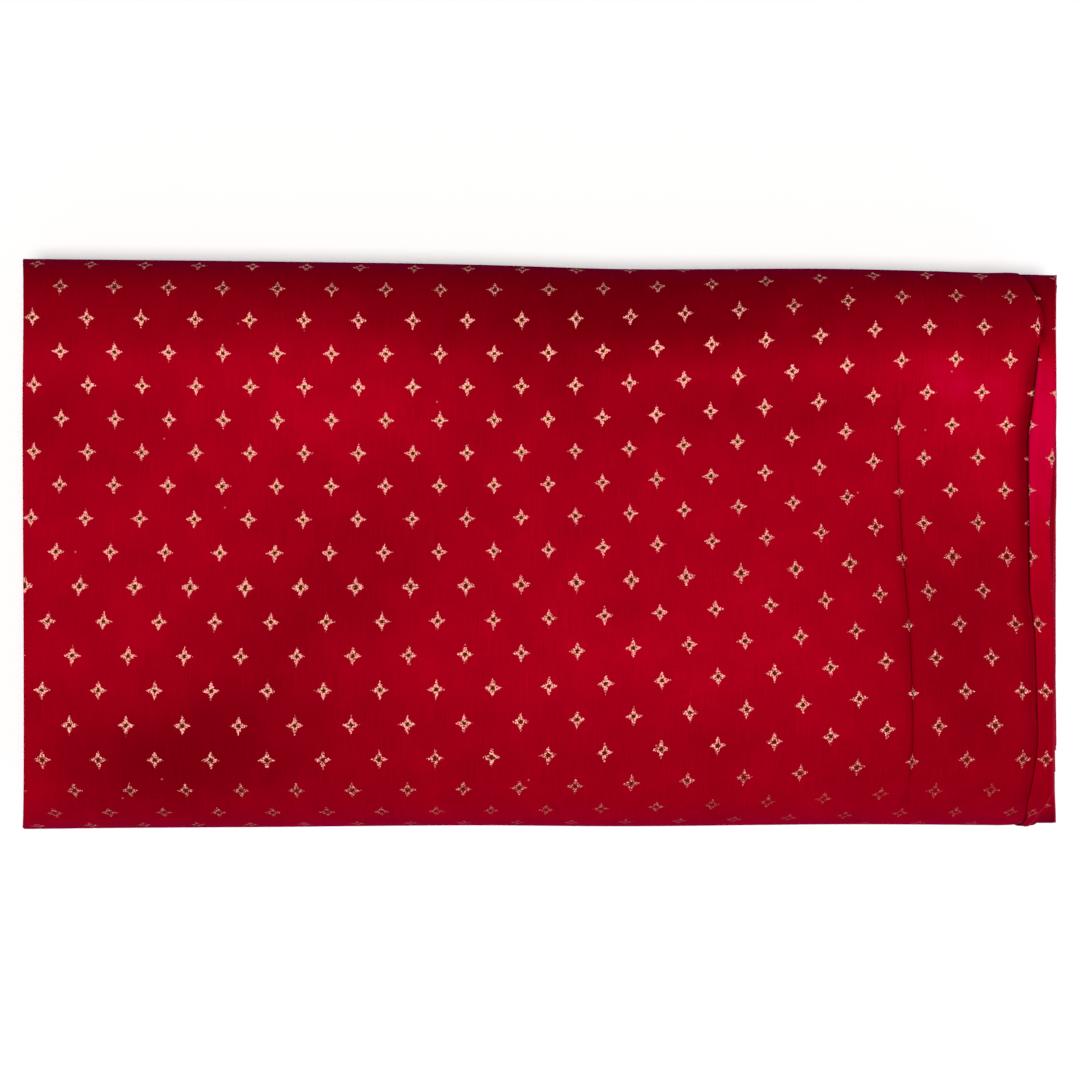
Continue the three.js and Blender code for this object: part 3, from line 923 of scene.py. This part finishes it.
# Over the front edge the outer turn lies in from the right end, and the second turn stands up there
# in a bare corner. Its foil is worn, and it has painted shade, as the whole right end has
CORNER = {"along": [222, 240, 262, 300, 330], "bare": [0, 0.7, 1, 1, 0]}
CORNER_X = (212.0, 228.0)
CORNER_LIFT = 2.4
CORNER_PAINTED_SHADE = 0.45
CORNER_WORN = 1.6
INNER_WORN = 0.4
RIGHT_END_X = (236.0, 246.0)
RIGHT_END_PAINTED_SHADE = 0.4

inner_steps = winding_steps(1, int(TURNS), INNER_EDGE_STEP, INNER_TOP_STEP, INNER_TOP_STEP)
heart_end = next(k for k, s in enumerate(inner_steps) if s.turn == int(TURNS) and s.side == "under")
inner_steps = inner_steps[:heart_end]

# Slow waves along the cloth, by which its edges drift
WAVE_LENGTHS = (431.0, 263.0, 157.0, 97.0)
WAVE_SIZES = (1.0, 0.8, 0.6, 0.4)
wave_starts = np.random.default_rng(7).uniform(0.0, 2 * math.pi, len(WAVE_LENGTHS))


def drift(distance, offset):
    """A slow, uneven drift along the cloth, between about -1 and 1. Each offset gives another."""
    swings = (
        size * math.sin(2 * math.pi * distance / length + start + offset)
        for length, start, size in zip(WAVE_LENGTHS, wave_starts, WAVE_SIZES)
    )
    return sum(swings) / 2.0


def inner_row(step, distance):
    """One row of an inner turn, from the upper ply's selvedge round the fold to the lower ply's:
    places along the pack, depths in turns, places in the print and distances from the selvedge."""
    outside, heart = (points[:, 0] for points in rays(step, np.array([0.0])))
    end = float(reach(outside + (heart - outside) * way_in(step)))
    left_end = end - END_IN - FOLD_DRIFT * (1.0 + drift(distance, 0.0))
    upper_end = end - END_IN - SELVEDGE_DRIFT * (1.0 + drift(distance, 2.0))
    lower_end = end - END_IN - SELVEDGE_DRIFT * (1.0 + drift(distance, 4.0))
    left = -left_end + INNER_FOLD_RADIUS
    inward = np.array(END_STATIONS)
    upper = np.concatenate([left + inward, MIDDLE_STATIONS, (upper_end - inward)[::-1]])
    lower = np.concatenate([left + inward, MIDDLE_STATIONS, (lower_end - inward)[::-1]])
    fold, down = fold_round(left, INNER_FOLD_RADIUS, INNER_FOLD_COLUMNS)
    at_fold = FOLD_SWAY * drift(distance, 1.0)
    near_fold = at_fold * fade(upper - left, FOLD_SWAY_FROM)
    at_upper_end = SELVEDGE_SWAY * drift(distance, 3.0) * fade(upper_end - upper, SELVEDGE_SWAY_FROM)
    at_lower_end = SELVEDGE_SWAY * drift(distance, 5.0) * fade(lower_end - lower, SELVEDGE_SWAY_FROM)
    upper_depth = near_fold + at_upper_end
    lower_depth = PLY_GAP + near_fold + at_lower_end
    x = np.concatenate([upper[::-1], fold, lower])
    depth = np.concatenate([upper_depth[::-1], PLY_GAP * down + at_fold, lower_depth])
    printed, from_selvedge = selvedge_to_selvedge(upper, fold, lower, left)
    return x, depth, printed, from_selvedge


def outer_step_over(step):
    """The number of the outer turn's step that lies nearest over a step of an inner turn."""
    over = [other.side == step.side and other.turn == 0 for other in outer_steps]
    gaps = [abs(other.place - step.place) for other in outer_steps]
    return int(np.argmin(np.where(over, gaps, math.inf)))


inner_rows = []
gone = along_middle[second_start] - along_middle[0]
last_point = None
for k, step in enumerate(inner_steps):
    x, depth, printed, from_selvedge = inner_row(step, gone)
    if step.turn == 1:
        depth = depth + START_DEPTH * max(0.0, 1.0 - k / START_STEPS)
    along = eased(SAMPLED_X, along_at[:, outer_step_over(step)], x)
    rise = dented(x, along)[0] * (1.0 - way_in(step, depth))
    corner = np.zeros_like(x)
    if step.turn == 1 and step.side == "front":
        corner = value_at(CORNER, "bare", along[0]) * ramp(x, *CORNER_X)
    points = cloth_point(step, x, depth, rise + CORNER_LIFT * corner)
    upper_point = points[len(points) // 4]
    if last_point is not None:
        gone += float(np.linalg.norm(upper_point - last_point))
    last_point = upper_point
    across = printed - STAR_COLUMN_X
    ahead = np.full_like(x, gone) + eased(THREADS["x"], THREADS["ahead"], x)
    from_end = np.full_like(x, gone)
    # Painted shade in the bare corner and at the right end
    shade = (1.0 - CORNER_PAINTED_SHADE * corner) * (1.0 - RIGHT_END_PAINTED_SHADE * ramp(x, *RIGHT_END_X))
    wear = INNER_WORN + CORNER_WORN * corner
    inner_rows.append((points, across, ahead, from_selvedge, from_end, shade, wear))
inner_turns = sheet_object("inner_turns", inner_rows)
finish_cloth(inner_turns)
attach(inner_turns, "root")
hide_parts("turban_cloth")


# The floor: a plain pale studio surface, matt as paper, that the pack lies on. It belongs to the
# picture and not to the part.
bpy.ops.mesh.primitive_plane_add(size=12.0, location=(0.0, 0.0, 0.0))
floor = bpy.context.object
floor.name = "floor"
paper = bpy.data.materials.new("Pale floor")
paper.use_nodes = True
paper_shader = paper.node_tree.nodes["Principled BSDF"]
paper_shader.inputs["Base Color"].default_value = (0.74, 0.74, 0.75, 1.0)
paper_shader.inputs["Roughness"].default_value = 0.9
floor.data.materials.append(paper)


# Soft studio light: a broad sky light, slightly warm, from above the front, a small cool panel low on
# the right, and a pale surround that lights the front more than the back.
TOWARDS_SKY_LIGHT = Vector((0.05, -0.32, 1.7))
PANEL_PLACE = Vector((1.0, -1.3, 0.35))
TOWARDS_PANEL = Vector((1.0, -1.3, 0.32))
FRONT_TO_BACK = (-0.6, 0.8)
FRONT_STRENGTH = 0.16
BACK_STRENGTH = 0.03
BACKDROP_STRENGTH = 1.05  # as the camera sees it

overhead = bpy.data.lights.new("overhead", "SUN")
overhead.energy = 4.1
overhead.angle = math.radians(34.0)
overhead.color = (1.0, 0.98, 0.96)
overhead_lamp = bpy.data.objects.new("overhead", overhead)
overhead_lamp.rotation_euler = TOWARDS_SKY_LIGHT.to_track_quat("Z", "Y").to_euler()
bpy.context.scene.collection.objects.link(overhead_lamp)

panel_light = bpy.data.lights.new("cool_panel", "AREA")
panel_light.shape = "RECTANGLE"
panel_light.size = 0.9
panel_light.size_y = 0.5
panel_light.energy = 5.5
panel_light.color = (0.5, 0.58, 1.0)
cool_panel = bpy.data.objects.new("cool_panel", panel_light)
cool_panel.location = PANEL_PLACE
cool_panel.rotation_euler = TOWARDS_PANEL.to_track_quat("Z", "Y").to_euler()
bpy.context.scene.collection.objects.link(cool_panel)

world = bpy.data.worlds.new("Studio surround")
bpy.context.scene.world = world
world.use_nodes = True
sky = world.node_tree
surround = sky.nodes["Background"]
surround.inputs["Color"].default_value = (0.96, 0.98, 1.0, 1.0)
towards = add_node(sky, "ShaderNodeTexCoord").outputs["Generated"]
backwards = add_node(sky, "ShaderNodeSeparateXYZ", {0: towards}).outputs["Y"]
dimmer_behind = spread(sky, backwards, *FRONT_TO_BACK, FRONT_STRENGTH, BACK_STRENGTH)
seen = add_node(sky, "ShaderNodeLightPath").outputs["Is Camera Ray"]
backdrop = maths(sky, "MULTIPLY", seen, BACKDROP_STRENGTH)
sky.links.new(maths(sky, "MAXIMUM", dimmer_behind, backdrop), surround.inputs["Strength"])
bpy.context.scene.view_settings.view_transform = "Standard"


# The camera looks down from the front, five degrees off the vertical, from just under a metre, so
# that the pack fills the picture's width as in the photo.
CAMERA_TARGET = Vector((0.0, 0.0, 0.027))
CAMERA_DISTANCE = 0.966
CAMERA_ELEVATION = math.radians(85.0)
lens = bpy.data.cameras.new("camera")
lens.lens = 66.67
lens.sensor_width = 36.0
camera = bpy.data.objects.new("camera", lens)
camera.location = CAMERA_TARGET + CAMERA_DISTANCE * Vector(
    (0.0, -math.cos(CAMERA_ELEVATION), math.sin(CAMERA_ELEVATION))
)
camera.rotation_euler = (math.pi / 2 - CAMERA_ELEVATION, 0.0, 0.0)
bpy.context.scene.collection.objects.link(camera)
bpy.context.scene.camera = camera
